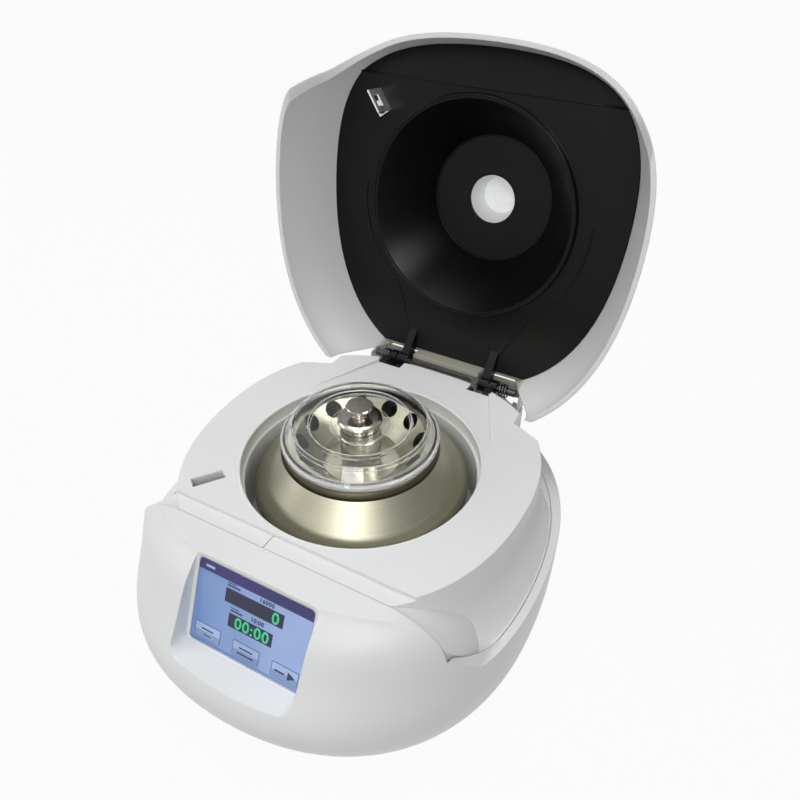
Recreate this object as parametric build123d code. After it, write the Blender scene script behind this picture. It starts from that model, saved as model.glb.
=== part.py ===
from build123d import *
from math import cos, radians, sin
import os

# Mini centrifuge with a hinged lid, modelled with the lid open.
# All sizes are millimetres. Z is up from the table, the screen faces -Y,
# and X = Y = 0 is the rotor axis. The lid is drawn closed and swung open.
# At the end everything moves along Y, so that the origin is under the middle.

# Heights
foot_height = 5.0
deck_z = 100.0
ledge_drop = 45.0
panel_drop = 2.0
ledge_z = deck_z - ledge_drop
panel_z = deck_z - panel_drop
sky = deck_z + 100.0
far = 220.0

# Roundness of the plan outlines, as the reach of each quarter's curve
side_roundness = 0.64
front_roundness = 0.75

# Lower housing
plan_centre_y = -10.0
housing_half_width = 126.5
housing_rear = 138.0
housing_wall = 3.0
ledge_width = 5.0
rear_ledge = 11.0
opening_front = -140.0
body_gap = 0.3
seam_y = -88.0
ridge_start_x = 92.0
ridge_end_x = 117.0
ridge_top_bend = 40.0
ridge_low_bend = 5.0
ridge_end_y = -50.0
# Height, front edge, and how far the sides and rear draw in
housing_profile = [
    (foot_height, -134.0, 2.6),
    (foot_height + 8.0, -143.0, 1.2),
    (foot_height + 17.0, -148.5, 0.4),
    (34.0, -151.5, 0.0),
    (ledge_z, -142.3, 0.0),
    (deck_z - 25.0, -129.5, 0.0),
    (deck_z - 12.0, -119.5, 0.0),
    (panel_z, -109.5, 0.0),
]

# Upper cover: drop below the deck, half width, centre, front edge, rear edge
cover_profile = [
    (0.0, 107.0, 8.0, -109.0, 108.0),
    (14.0, 108.0, 5.0, -112.0, 112.0),
    (28.0, 110.0, 1.0, -118.0, 116.0),
    (38.0, 114.5, -4.0, -124.0, 121.0),
    (ledge_drop, 120.2, plan_centre_y, -133.0, 126.0),
]
cover_wall = 2.5
cover_flange = 3.0
deck_front = -78.0
deck_step = 2.4
seam_step = 0.5
apron_fall = 0.35
bowl_mouth_r = 75.0
bowl_lip = 9.5
facet_front = (67.5, 46.0)
facet_rear_x = 36.0
facet_angle = 2.73
rear_corner = (71.5, 77.0)
rear_shoulder = (70.5, 91.0)
rear_bend = (53.0, 109.0)
side_cut_fall = 0.47
tick_x = -10.0
tick_width = 0.8

# Hinge and its well
hinge_y = 118.2
hinge_drop = 8.6
hinge_z = deck_z - hinge_drop
lid_open_angle = 98.6
well_r = 19.0
well_half_width = 54.0
well_block_half = 62.5
well_front = 109.0
well_rim_drop = 22.0
well_rear = 134.0
pin_r = 2.5
pin_fit = 0.06
pin_inner_x = 28.0
pin_outer_x = 57.0
arm_x = 33.0
arm_width = 6.0
barrel_r = 5.5
knuckle_x = 40.8
knuckle_width = 5.0
notch_x = (27.0, 45.0)
notch_front = 99.0
notch_drop = 18.0
spring_x = 45.0
spring_wire = 1.2
spring_r = 4.4
spring_pitch = 1.9
spring_turns = 3
spring_leg = 9.0

# Lid in its closed place: height over the deck, half width, front, rear
lid_profile = [
    (-ledge_drop, 126.2, -110.5, 142.0),
    (-19.0, 118.0, -109.5, 136.5),
    (4.0, 110.6, -105.8, 130.5),
    (30.0, 98.6, -95.0, 122.0),
    (50.0, 81.0, -76.5, 104.0),
    (62.0, 59.0, -56.0, 80.0),
    (68.0, 36.0, -38.0, 54.0),
    (70.0, 12.0, -20.0, 24.0),
]
lid_wall = 3.0
lid_lift = 1.0
lid_rear_y = 115.3
lid_rear_wall = 3.2
lid_wall_bottom = 6.5
skirt_half_width = 26.5
skirt_drop = 7.5
liner_height = 3.75
liner_thickness = 2.5
liner_fit = 0.3
liner_rear_y = 112.0
liner_fold_y = -77.0
liner_fold_angle = 20.0
liner_wall = 2.0
collar_outer_r = 74.6
collar_rim = 1.6
collar_inner_r = collar_outer_r - collar_rim
collar_height = 0.7
cone_top_r = 44.2
cone_top = 44.3
cone_skin = 1.2
port_r = 17.3
port_wall = 1.6
port_taper = 4.0
port_tip_r = port_r - port_taper
port_top = 62.5
port_cap_thickness = 3.0
port_groove_r = 8.4
port_groove_width = 0.6

# Lid lock
lock_x = -70.5
lock_y = -61.5
lock_angle = 54.0
slot_length = 19.5
slot_width = 7.2
striker_width = 15.5
striker_thickness = 1.2
striker_depth = 13.0
striker_foot = 9.0
window_width = 8.0
window_height = 6.4
window_depth = 6.8
frame_half_length = 11.5
frame_back = 12.5
frame_front = 6.0
frame_wall = 1.6
frame_depth = 24.0
hook_width = 4.0
hook_bar = 2.0
hook_back = 8.2
hook_tip = 1.5
hook_height = 2.6
hook_pin_r = 1.5
hook_boss_r = 2.9
hook_pivot_y = -hook_back + hook_boss_r
hook_pivot_drop = 20.0
plunger_r = 1.8
plunger_drop = 11.0
solenoid_length = 14.0
solenoid_half = 6.0

# Rotor, lid of the rotor and drive. Heights are measured from the deck
rotor_outline = [
    (39.7, 16.2), (46.3, 16.2), (47.2, 11.4), (65.6, -11.0), (67.4, -14.0), (67.8, -18.0),
    (66.6, -24.0), (50.0, -42.0), (20.0, -42.0), (20.0, -30.0), (9.0, -12.0), (9.0, -5.0),
    (24.0, -5.0), (24.0, 0.5),
]
tube_r = 5.6
tube_tip_r = 2.4
tube_straight = 15.0
tube_depth = 33.0
tube_count = 12
tube_ring_r = 36.0
tube_mouth = 12.5
hub_r = 12.6
hub_top = 24.5
stud_r = 4.0
stud_top = 32.0
rotor_floor = -5.0
lid_shoulder_r = 41.0
lid_disc_r = 30.5
lid_skin = 1.6
knob_r = 8.2
knob_top = 40.5
knob_collar_r = 13.7
knob_flat_r = 11.3
knob_waist_r = 12.4
knob_collar_low = 29.4
knob_bore_r = 4.06
knob_stem_r = 7.0

# Chamber, motor and base
chamber_r = 73.0
chamber_wall = 1.5
chamber_floor = -50.0
chamber_hole_r = 14.0
shaft_r = 4.0
cone_clearance = 0.05
motor_r = 28.0
motor_bottom = 12.0
motor_top = 40.0
neck_r = 10.0
plate_thickness = 2.5
plate_r = 46.0
damper_ring_r = 38.0
damper_r = 6.5
damper_height = 12.0
foot_r = 9.0
foot_places = [(-88.0, -88.0), (88.0, -88.0), (-88.0, 88.0), (88.0, 88.0)]
base_thickness = 3.0
base_top = foot_height + base_thickness
board_z = 14.0
board_thickness = 1.6
board_x = 84.0
board_half = 20.0
board_front = -45.0
board_rear = 35.0
post_inset = 4.0
base_vent_x = 60.0
base_vent_half = 12.0
base_vent_pitch = 18.0
base_vent_count = 5

# Screen and the scoop in front of it
screen_width = 74.6
screen_height = 50.7
screen_y = -117.4
screen_drop = 28.6
screen_lean = 24.0
glass_thickness = 1.8
glass_border = 1.2
scoop_depth = 26.0
scoop_flare = 1.0
scoop_bevel = 1.0
scoop_bevel_side = 2.4
scoop_bevel_top = 5.0
scoop_bevel_corner = 6.0
scoop_side = 4.4
scoop_bottom = 10.0
scoop_corner = 8.0
scoop_wall = 2.6

# Rear panel
pad_y = 131.0
pad_half_width = 47.5
pad_frame = 4.0
pad_thickness = 3.0
pad_low = 15.0
pad_high = 49.0
fitting_z = 32.0
inlet_x = -26.0
inlet_width = 27.0
inlet_height = 20.0
switch_x = 8.0
switch_width = 13.0
switch_height = 20.6
vent_x = 34.0
vent_count = 5
vent_pitch = 4.0
vent_width = 1.8
vent_height = 22.0
rocker_y = pad_y - 4.0
rocker_half = 5.2
rocker_axle_r = 1.2
rocker_tilt = -8.0


def quarter(side, half_width, centre, reach, roundness, z):
    """Control points of one quarter of a plan outline."""
    return [
        (side * half_width, centre, z),
        (side * half_width, centre + reach * roundness, z),
        (side * half_width * roundness, centre + reach, z),
        (0, centre + reach, z),
    ]


def plan_face(z, half_width, front, rear, centre=plan_centre_y, nose=side_roundness):
    """Rounded plan outline at one height, as a face."""
    back = rear - centre
    ahead = front - centre
    edges = [
        Bezier(*quarter(1, half_width, centre, back, side_roundness, z)),
        Bezier(*reversed(quarter(-1, half_width, centre, back, side_roundness, z))),
        Bezier(*quarter(-1, half_width, centre, ahead, nose, z)),
        Bezier(*reversed(quarter(1, half_width, centre, ahead, nose, z))),
    ]
    return Face(Wire(edges))


def block(x0, x1, y0, y1, z0, z1):
    """Box between two corners."""
    place = Pos((x0 + x1) / 2, (y0 + y1) / 2, (z0 + z1) / 2)
    return place * Box(x1 - x0, y1 - y0, z1 - z0)


def rod(radius, bottom, top, x=0.0, y=0.0):
    """Upright cylinder between two heights."""
    return Pos(x, y, (bottom + top) / 2) * Cylinder(radius, top - bottom)


def tube(outer_r, inner_r, bottom, top, x=0.0, y=0.0):
    """Upright tube between two heights."""
    return rod(outer_r, bottom, top, x, y) - rod(inner_r, bottom - 1, top + 1, x, y)


def cross_rod(radius, x0, x1, y=hinge_y, z=hinge_z):
    """Cylinder along X, on the hinge axis unless told otherwise."""
    return Pos((x0 + x1) / 2, y, z) * Rot(0, 90, 0) * Cylinder(radius, x1 - x0)


def outline_face(points):
    """Face inside a closed run of straight lines."""
    return Face(Wire(Polyline(*points, close=True).edges()))


def turned(points):
    """Body of revolution from radius and height over the deck."""
    return revolve(outline_face([(r, 0, deck_z + z) for r, z in points]), Axis.Z)


def prism(points, z0, z1):
    """Upright prism over a plan polygon."""
    return extrude(outline_face([(x, y, z0) for x, y in points]), z1 - z0, dir=(0, 0, 1))


def side_plate(points, x0, x1):
    """Plate with a profile of Y and Z, between two X places."""
    return extrude(outline_face([(x0, y, z) for y, z in points]), x1 - x0, dir=(1, 0, 0))


def ring_of(shape, count):
    """Copies of a shape spread round the rotor axis."""
    return [Rot(0, 0, 360 * index / count) * shape for index in range(count)]


def other_side(shape):
    return mirror(shape, Plane.YZ)


def both(shape):
    """One node that holds a shape and its mirror image."""
    return Compound([shape, other_side(shape)])


def opened(shape):
    """Swing a lid piece from its closed place to the open one."""
    return shape.rotate(Axis((0, hinge_y, hinge_z), (1, 0, 0)), -lid_open_angle)


def at_lock(shape):
    """Place a piece drawn along X at the lock on the deck."""
    return Pos(lock_x, lock_y, deck_z) * Rot(0, 0, lock_angle) * shape


def at_screen(shape):
    """Place a piece drawn in XY on the leaning screen."""
    return Pos(0, screen_y, deck_z - screen_drop) * Rot(90 - screen_lean, 0, 0) * shape


# Lower housing
def housing_volume(inset):
    """Outside of the housing drawn in by an inset."""
    faces = []
    for z, front, draw in housing_profile:
        half = housing_half_width - draw - inset
        faces.append(plan_face(z, half, front + inset, housing_rear - draw - inset))
    solid = loft(faces)
    if inset > 0:
        solid = solid + extrude(faces[-1], 10, dir=(0, 0, 1)) + extrude(faces[0], 3, dir=(0, 0, -1))
    return solid


def ridge_points(lift):
    """Ledge, ridge, panel edge, ridge, ledge as X and Z."""
    low = ledge_z + lift
    high = panel_z + lift
    return [
        (-far, low), (-ridge_end_x, low), (-ridge_start_x, high),
        (ridge_start_x, high), (ridge_end_x, low), (far, low),
    ]


def ridge_face(lift, close_z, y):
    """Face between the ridge line and a level, with softened bends."""
    points = ridge_points(lift) + [(far, close_z), (-far, close_z)]
    face = outline_face([(x, y, z) for x, z in points])
    tops = [v for v in face.vertices() if abs(abs(v.X) - ridge_start_x) < 0.1]
    face = face.fillet_2d(ridge_top_bend, tops)
    lows = [v for v in face.vertices() if abs(abs(v.X) - ridge_end_x) < 0.1]
    return face.fillet_2d(ridge_low_bend, lows)


def above_ridge(lift):
    """Everything above the ledge, the ridges and the panel edge."""
    front = extrude(ridge_face(lift, sky, ridge_end_y), far, dir=(0, -1, 0))
    rear = block(-far, far, ridge_end_y - 0.01, far, ledge_z + lift, sky)
    return front + rear


def scoop(growth):
    """Hollow in front of the screen: a bevelled rim, then walls that open outwards."""
    inner = scoop_section(growth, growth, growth, 2.0, 0)
    side = scoop_bevel_side + growth
    top = scoop_bevel_top + growth
    rim = scoop_section(side, top, scoop_bevel + growth, scoop_bevel_corner, scoop_bevel)
    side = scoop_side + growth
    outer = scoop_section(side, top + scoop_flare, scoop_bottom + growth, scoop_corner, scoop_depth)
    return at_screen(loft([inner, rim]) + loft([rim, outer]))


def scoop_section(side, top, bottom, corner, lift):
    """Rounded outline round the screen, at one height over the glass."""
    high = screen_height / 2 + top
    low = -screen_height / 2 - bottom
    outline = Rectangle(screen_width + 2 * side, high - low)
    outline = fillet(outline.vertices(), corner)
    return (Pos(0, (high + low) / 2, lift) * outline).face()


def make_lower_housing():
    outside = housing_volume(0) - above_ridge(0)
    cavity = housing_volume(housing_wall) - above_ridge(-housing_wall)
    shell = outside - cavity
    middle = extrude(plan_face(ledge_z - 10, housing_half_width - ledge_width,
                               opening_front, housing_rear - rear_ledge), far, dir=(0, 0, 1))
    middle = middle & block(-far, far, seam_y, far, 0, sky)
    screen_wall = (scoop(scoop_wall) & outside)
    half = pad_half_width + pad_frame
    pad = block(-half, half, pad_y - pad_thickness, pad_y + 6, pad_low - pad_frame, pad_high + 3)
    shell = shell + screen_wall + (pad & outside)
    shell = shell - middle - scoop(0)
    opening = Box(screen_width + 2 * (glass_border + body_gap),
                  screen_height + 2 * (glass_border + body_gap), 12)
    shell = shell - at_screen(Pos(0, 0, -6) * opening)
    shell = shell - block(-pad_half_width, pad_half_width, pad_y, far, pad_low, pad_high)
    for hole in rear_holes():
        shell = shell - hole
    return shell


def rear_holes():
    """Openings for the inlet, the switch and the vents."""
    depth = (pad_y - pad_thickness - 1, pad_y + 1)
    low = fitting_z - inlet_height / 2
    holes = [
        block(inlet_x - inlet_width / 2, inlet_x + inlet_width / 2, *depth, low, low + inlet_height),
        block(switch_x - switch_width / 2, switch_x + switch_width / 2, *depth,
              fitting_z - switch_height / 2, fitting_z + switch_height / 2),
    ]
    for index in range(vent_count):
        x = vent_x + (index - (vent_count - 1) / 2) * vent_pitch
        holes.append(block(x - vent_width / 2, x + vent_width / 2, *depth,
                           fitting_z - vent_height / 2, fitting_z + vent_height / 2))
    return holes


# Upper cover
def cover_volume(inset):
    """Deck, flanks and front corners drawn in by an inset."""
    faces = []
    for drop, half, centre, front, rear in cover_profile:
        z = deck_z - max(drop, inset)
        faces.append(plan_face(z, half - inset, front + inset, rear - inset, centre))
    solid = loft(faces)
    apron = extrude(ridge_face(-seam_step - inset, ledge_z - 20, seam_y), 80,
                    dir=(0, 1, -apron_fall))
    edge = housing_half_width - ledge_width - body_gap - inset
    inside = extrude(plan_face(ledge_z, edge, opening_front + ledge_width + inset, cover_profile[-1][4]),
                     far, dir=(0, 0, 1))
    solid = solid + (apron & inside)
    depth = cover_flange + 2 if inset > 0 else housing_wall / 2
    solid = solid + extrude(faces[-1], depth, dir=(0, 0, -1))
    return solid & cover_plan(inset)


def cover_plan(inset):
    """Upright prism that trims the front, the rear corners and the rear."""
    corner_x, corner_y = rear_corner
    side_y = corner_y - (far - corner_x) * side_cut_fall
    right = [
        (far, seam_y + body_gap + inset), (far, side_y - inset), (corner_x - inset, corner_y - inset),
        (rear_shoulder[0] - inset, rear_shoulder[1]), (rear_bend[0] - inset, rear_bend[1] - inset),
        (0, well_front - inset),
    ]
    outline = right + [(-x, y) for x, y in reversed(right[:-1])]
    body = prism(outline, 0, sky)
    band = block(-far, far, -far, deck_front + inset, deck_z - deck_step - inset, sky)
    return body - band - facet(inset)


def facet(inset):
    """Sloping cut that makes the rear middle of the deck fall away."""
    front_x, front_y = facet_front
    reach = well_front - front_y + 8
    points = [(-front_x, 0), (front_x, 0), (facet_rear_x, reach), (-facet_rear_x, reach)]
    cut = prism(points, -inset, 20)
    return Pos(0, front_y, deck_z) * Rot(-facet_angle, 0, 0) * cut


def well_rear_block(inset):
    """Low block behind the deck that holds the hinge well."""
    half = well_block_half - inset
    top = deck_z - well_rim_drop - inset
    solid = block(-half, half, well_front - 12, well_rear - inset, ledge_z - 5 * (inset > 0), top)
    rear_edge = housing_rear - body_gap * 5 - inset
    return solid & extrude(plan_face(0, housing_half_width - inset, opening_front, rear_edge), far, dir=(0, 0, 1))


def well_cut(growth):
    """Trough round the hinge axis, open upwards."""
    half = well_half_width + growth
    trough = cross_rod(well_r + growth, -half, half) & block(-far, far, well_front - growth, far, 0, far)
    return trough + block(-half, half, well_front - growth, hinge_y + well_r, hinge_z, sky)


def make_upper_cover():
    outer = cover_volume(0) + well_rear_block(0)
    floor_edge = housing_half_width - ledge_width - body_gap
    floor = extrude(plan_face(ledge_z, floor_edge, opening_front, housing_rear - rear_ledge - body_gap),
                    housing_wall, dir=(0, 0, -1))
    outer = outer + (floor & block(-far, far, seam_y + body_gap, far, 0, far))
    inner = cover_volume(cover_wall) + well_rear_block(cover_wall) - well_cut(cover_wall)
    inner = inner - rod(bowl_mouth_r + cover_wall, deck_z - bowl_lip, deck_z + 5)
    for side in (-1, 1):
        inner = inner - notch_block(side, cover_wall)
    shell = outer - inner - well_cut(0) - rod(bowl_mouth_r, 0, deck_z + 5)
    for side in (-1, 1):
        shell = shell - notch_block(side, 0)
    shell = shell - at_lock(Box(slot_length, slot_width, 12))
    shell = shell - block(tick_x - tick_width / 2, tick_x + tick_width / 2, seam_y, deck_front,
                          deck_z - deck_step - 0.7, deck_z)
    shell = shell - cross_rod(pin_r, -pin_outer_x, pin_outer_x)
    return shell + cover_flange_ring()


def notch_block(side, growth):
    """Notch in the rear edge of the deck that a hinge arm passes through."""
    low, high = sorted((side * notch_x[0], side * notch_x[1]))
    return block(low - growth, high + growth, notch_front - growth, well_front + 1,
                 deck_z - notch_drop - growth, deck_z + 5)


def cover_flange_ring():
    """Ring under the housing's ledge that the cover is screwed through."""
    top = ledge_z - housing_wall
    reach = housing_wall + body_gap
    outer = extrude(plan_face(top, housing_half_width - reach, opening_front, housing_rear - reach),
                    cover_flange, dir=(0, 0, -1))
    inner_edge = housing_half_width - 2 * ledge_width
    hole = extrude(plan_face(top, inner_edge, opening_front, housing_rear - rear_ledge - ledge_width),
                   20, dir=(0, 0, -1), both=True)
    ring = (outer - hole) & block(-far, far, seam_y + 8, far, 0, far)
    half = pad_half_width + pad_frame + body_gap
    return ring - block(-half, half, pad_y - pad_thickness - body_gap, far, 0, far)


# Lid, drawn closed
def lid_volume(inset):
    """Outside of the lid drawn in by an inset."""
    faces = []
    for height, half, front, rear in lid_profile:
        z = deck_z + height - inset * max(0.0, height - 20.0) / 50.0
        faces.append(plan_face(z, half - inset, front + inset, rear - inset, nose=front_roundness))
    solid = loft(faces)
    if inset > 0:
        solid = solid + extrude(faces[0], 5, dir=(0, 0, -1))
    return solid


def make_lid_shell():
    outer = lid_volume(0)
    wall_front = lid_rear_y - lid_rear_wall
    rear_wall = outer & block(-far, far, wall_front, lid_rear_y, deck_z + lid_wall_bottom, sky)
    skirt = block(-skirt_half_width, skirt_half_width, wall_front, lid_rear_y,
                  deck_z - skirt_drop, deck_z + lid_wall_bottom)
    shell = (outer - lid_volume(lid_wall)) & above_ridge(lid_lift)
    shell = shell & block(-far, far, -far, lid_rear_y, 0, sky)
    return shell + (rear_wall + skirt)


def make_lid_liner():
    fit = lid_wall + liner_fit
    low = deck_z + liner_height
    plate = block(-far, far, liner_fold_y, liner_rear_y - liner_fit, low, low + liner_thickness)
    fold = Rot(-liner_fold_angle, 0, 0) * block(-far, far, -60, 0.5, 0, liner_thickness)
    plate = plate + Pos(0, liner_fold_y, low) * fold
    plate = plate & lid_volume(fit)
    slope = (collar_inner_r - liner_wall - cone_top_r) / (cone_top - collar_height)
    outer_top_r = cone_top_r + cone_skin
    outer_low_r = outer_top_r + (cone_top - liner_height) * slope
    cone = turned([
        (outer_low_r, liner_height + liner_thickness), (collar_outer_r, liner_height + liner_thickness),
        (collar_outer_r, liner_height), (collar_inner_r, collar_height),
        (collar_inner_r - liner_wall, collar_height), (cone_top_r, cone_top), (port_r, cone_top),
        (port_r, cone_top + liner_wall), (outer_top_r, cone_top + liner_wall),
    ])
    return plate - rod(collar_outer_r - collar_rim / 2, 0, sky) + cone


def make_port_tube():
    """Tapered well of the viewing port on top of the cone."""
    base = cone_top + liner_wall
    tip = port_tip_r + port_wall
    return turned([(port_r, base), (port_tip_r, port_top), (tip, port_top), (port_r + port_wall, base)])


def make_port_cap():
    """Disc that closes the port, with a shallow ring groove."""
    low = deck_z + port_top
    groove = tube(port_groove_r, port_groove_r - port_groove_width, low - 1, low + 0.5)
    return rod(port_tip_r + port_wall, low, low + port_cap_thickness) - groove


def make_striker():
    half = striker_width / 2
    plate = block(-half, half, -striker_thickness / 2, striker_thickness / 2, -striker_depth, liner_height)
    window = Pos(0, 0, -window_depth) * Box(window_width, 5, window_height)
    foot = block(-half, half, 0, striker_foot, liner_height - striker_thickness, liner_height)
    foot = foot - striker_screw_tool(1.5)
    return at_lock(plate - window + foot)


def striker_screw_tool(radius):
    """Two short upright pins in the striker's foot."""
    low = liner_height - striker_thickness - 1
    pins = [rod(radius, low, liner_height + 0.2, side * 4.5, 5.2) for side in (-1, 1)]
    return pins[0] + pins[1]


def make_striker_screws():
    low = liner_height - striker_thickness
    screws = []
    for side in (-1, 1):
        head = rod(2.6, low - 1.4, low, side * 4.5, 5.2)
        screws.append(at_lock(head + rod(1.5, low - 0.5, liner_height, side * 4.5, 5.2)))
    return Compound(screws)


# Hinge
def make_arm():
    """Right arm: barrel on the pin and a plate up to the liner."""
    low_x = arm_x - arm_width / 2
    liner_z = deck_z + liner_height
    points = [
        (hinge_y - barrel_r, hinge_z), (hinge_y - 17, liner_z - 4.5), (hinge_y - 22, liner_z),
        (liner_rear_y - liner_fit, liner_z), (hinge_y - 2.5, liner_z - 3.5), (hinge_y + barrel_r - 1, hinge_z + 2),
    ]
    arm = side_plate(points, low_x, low_x + arm_width) + cross_rod(barrel_r, low_x, low_x + arm_width)
    return arm - cross_rod(pin_r + pin_fit, low_x - 1, low_x + arm_width + 1)


def make_bracket():
    """Right fixed knuckle standing in the well."""
    low_x = knuckle_x - knuckle_width / 2
    high_x = low_x + knuckle_width
    web = block(low_x, high_x, hinge_y - barrel_r + 0.5, hinge_y + barrel_r - 0.5, hinge_z - 30, hinge_z)
    knuckle = cross_rod(barrel_r, low_x, high_x) + (web & cross_rod(well_r, low_x, high_x))
    return knuckle - cross_rod(pin_r, low_x - 1, high_x + 1)


def make_hinge_spring():
    """Right torsion spring: a short coil with two straight legs."""
    coil = Helix(pitch=spring_pitch, height=spring_pitch * spring_turns, radius=spring_r)
    first = Line(coil @ 0 - (coil % 0) * spring_leg, coil @ 0)
    last = Line(coil @ 1, coil @ 1 + (coil % 1) * spring_leg)
    path = Wire([first, coil, last])
    section = Plane(origin=path @ 0, z_dir=path % 0) * Circle(spring_wire / 2)
    spring = sweep(section, path=path, is_frenet=True)
    return Pos(spring_x, hinge_y, hinge_z) * Rot(0, 90, 0) * spring


# Lock under the deck, drawn along X with Z up from the deck
def make_lock_frame():
    top = -cover_wall
    low = top - frame_depth
    half = frame_half_length
    body = block(-half, half, -frame_back, frame_front, low, top)
    body = body - block(-half + frame_wall, half - frame_wall, -frame_back + frame_wall,
                        frame_front - frame_wall, low + frame_wall, top + 1)
    body = body - cross_rod(hook_pin_r, -half - 1, half + 1, hook_pivot_y, -hook_pivot_drop)
    band = block(-far, far, -far, deck_front + cover_wall + body_gap,
                 deck_z - deck_step - cover_wall - body_gap, deck_z)
    return at_lock(body - plunger_rod(plunger_r + 0.3, -frame_back - 1, 0)) - band


def plunger_rod(radius, y0, y1):
    return Pos(0, (y0 + y1) / 2, -plunger_drop) * Rot(90, 0, 0) * Cylinder(radius, y1 - y0)


def make_lock_hook():
    half = hook_width / 2
    top = -window_depth + hook_height / 2 + 0.8
    points = [
        (-hook_back, -hook_pivot_drop - 2.2), (-hook_back + hook_bar, -hook_pivot_drop - 2.2),
        (-hook_back + hook_bar, top - hook_height), (-hook_tip, top - hook_height), (-hook_tip, top),
        (-hook_back, top),
    ]
    hook = side_plate(points, -half, half)
    hook = hook + cross_rod(hook_boss_r, -half, half, hook_pivot_y, -hook_pivot_drop)
    return at_lock(hook - cross_rod(hook_pin_r + pin_fit, -half - 1, half + 1, hook_pivot_y, -hook_pivot_drop))


def make_hook_pin():
    half = frame_half_length
    return at_lock(cross_rod(hook_pin_r, -half, half, hook_pivot_y, -hook_pivot_drop))


def make_solenoid():
    half = solenoid_half
    body = block(-half, half, -frame_back - solenoid_length, -frame_back, -plunger_drop - half, -plunger_drop + half)
    return at_lock(body - plunger_rod(plunger_r + 0.3, -frame_back - solenoid_length + 2, 0))


def make_plunger():
    start = -frame_back - solenoid_length + 3
    return at_lock(plunger_rod(plunger_r, start, -hook_back - 0.3))


# Rotor group
def make_rotor_body():
    body = turned(rotor_outline)
    well = Polyline((0, 0, -8), (tube_r, 0, -8), (tube_r, 0, tube_straight), (tube_tip_r, 0, tube_depth),
                    (0, 0, tube_depth), close=True)
    well = revolve(Face(Wire(well.edges())), Axis.Z)
    well = Pos(0, tube_ring_r, deck_z + tube_mouth) * Rot(-135, 0, 0) * well
    for copy in ring_of(well, tube_count):
        body = body - copy
    return body


def make_rotor_hub():
    return turned([
        (0, rotor_floor), (hub_r, rotor_floor), (hub_r, hub_top - 5.5), (hub_r - 0.6, hub_top - 5),
        (hub_r - 0.6, hub_top), (stud_r, hub_top), (stud_r, stud_top), (0, stud_top),
    ])


def make_drive_cone():
    return turned([
        (shaft_r, -38.0), (19.8, -38.0), (19.8, -30.0 - 0.33), (9.0 - cone_clearance, -12.0 - 0.2),
        (9.0 - cone_clearance, rotor_floor - 0.2), (shaft_r, rotor_floor - 0.2),
    ])


def make_rotor_lid():
    top = 28.4
    disc = hub_top + 1.7
    return turned([
        (48.3, 16.5), (48.3, 19.3), (45.6, 20.8), (lid_shoulder_r + 0.4, top - 0.8), (lid_shoulder_r - 1.1, top),
        (lid_disc_r + 0.8, top), (lid_disc_r - 0.2, disc), (knob_stem_r + 0.3, disc),
        (knob_stem_r + 0.3, disc - lid_skin), (lid_disc_r + 0.9, disc - lid_skin),
        (lid_disc_r + 1.7, top - lid_skin), (lid_shoulder_r - 1.6, top - lid_skin), (43.9, 19.8),
        (46.7, 18.6), (46.7, 16.5),
    ])


def make_rotor_lid_seal():
    return turned([(44.6, 16.3), (46.5, 16.3), (46.5, 18.66), (44.6, 19.47)])


def make_knob():
    """Grooved neck under a disc, on a stepped collar that clamps the cover."""
    low = hub_top + 1.8
    waist = knob_collar_low
    return turned([
        (0, stud_top + 0.6), (knob_bore_r, stud_top + 0.6), (knob_bore_r, hub_top + 0.2),
        (knob_stem_r, hub_top + 0.2), (knob_stem_r, low), (knob_waist_r, low), (knob_waist_r, waist),
        (knob_collar_r, waist + 0.3), (knob_collar_r, waist + 1.6), (knob_collar_r - 0.9, waist + 2.7),
        (knob_flat_r, waist + 3.1), (5.4, waist + 3.5), (4.6, waist + 3.8), (4.6, 34.2), (4.1, 34.4),
        (4.1, 35.0), (4.6, 35.2), (4.6, 36.0), (4.1, 36.2), (4.1, 36.8), (4.6, 37.0), (4.6, 38.4),
        (knob_r - 0.3, 38.7), (knob_r, 39.1), (knob_r, knob_top - 0.4), (knob_r - 0.5, knob_top),
        (0, knob_top),
    ])


# Chamber and drive
def make_chamber_bowl():
    inner_r = chamber_r
    outer_r = chamber_r + chamber_wall
    flange_r = bowl_mouth_r + cover_wall
    top = -bowl_lip
    floor = chamber_floor
    bend = 6.0
    return turned([
        (inner_r, top), (flange_r, top), (flange_r, top - chamber_wall), (outer_r, top - chamber_wall),
        (outer_r, floor + bend - 0.6), (outer_r - bend - 0.6, floor - chamber_wall),
        (chamber_hole_r, floor - chamber_wall), (chamber_hole_r, floor), (inner_r - bend, floor),
        (inner_r, floor + bend),
    ])


def make_motor():
    neck_top = deck_z + chamber_floor + 3.0
    body = rod(motor_r, motor_bottom, motor_top) + rod(neck_r, motor_top, neck_top)
    return body - rod(shaft_r + pin_fit, motor_bottom + 3, neck_top + 1)


def make_motor_plate():
    plate = rod(plate_r, motor_top, motor_top + plate_thickness)
    return plate - rod(neck_r, 0, deck_z)


def damper_places():
    return [(damper_ring_r * cos(radians(a)), damper_ring_r * sin(radians(a))) for a in (90, 210, 330)]


def make_base_plate():
    draw = housing_profile[0][2] + housing_wall + body_gap
    front = housing_profile[0][1] + housing_wall + body_gap
    plate = extrude(plan_face(foot_height, housing_half_width - draw, front, housing_rear - draw),
                    base_thickness, dir=(0, 0, 1))
    for row in range(base_vent_count):
        y = (row - (base_vent_count - 1) / 2) * base_vent_pitch
        for x in (-base_vent_x, base_vent_x):
            plate = plate - block(x - base_vent_half, x + base_vent_half, y - 2, y + 2, 0, base_top + 1)
    return plate


def make_board(side):
    x = side * board_x
    return block(x - board_half, x + board_half, board_front, board_rear, board_z, board_z + board_thickness)


def make_board_posts():
    posts = []
    reach = board_half - post_inset
    for side in (-1, 1):
        for x in (board_x - reach, board_x + reach):
            for y in (board_front + post_inset, board_rear - post_inset):
                posts.append(rod(3, base_top, board_z, side * x, y))
    return Compound(posts)


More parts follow.
